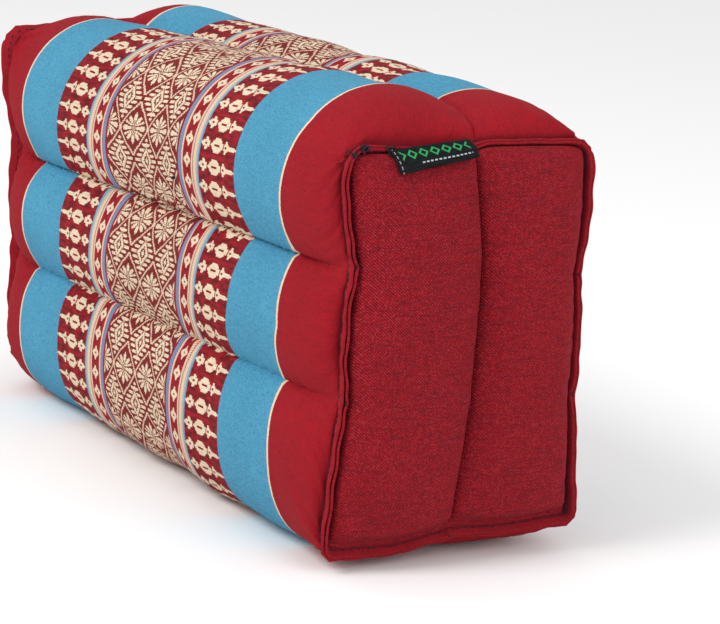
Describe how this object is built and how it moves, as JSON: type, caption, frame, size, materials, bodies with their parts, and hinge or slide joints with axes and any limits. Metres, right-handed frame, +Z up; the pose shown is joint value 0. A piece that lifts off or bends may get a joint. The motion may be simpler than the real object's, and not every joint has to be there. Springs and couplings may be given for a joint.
{
  "type": "block meditation cushion",
  "caption": "Firm rectangular block cushion of sewn stuffed rolls in a striped, patterned cloth, closed by plain red end panels with turned-out seams. It stands on its long narrow side.",
  "frame": {"origin": "middle of the cushion's base, on the surface that it stands on", "axes": "+X along the cushion towards the end that carries the label, +Y across its thickness towards the back rolls, +Z up"},
  "size_m": [0.3496, 0.1212, 0.1836],
  "materials": {
    "patterned_cloth": "woven cotton in red, sky blue, maroon and cream, matt",
    "red_cloth": "plain woven red cotton with dark slubs, matt",
    "black_tape": "black woven tape with a slight sheen"
  },
  "bodies": {
    "root": {"cushion_body": "patterned_cloth", "end_panel_near": "red_cloth", "end_panel_far": "red_cloth", "label": "black_tape"}
  },
  "joints": []
}
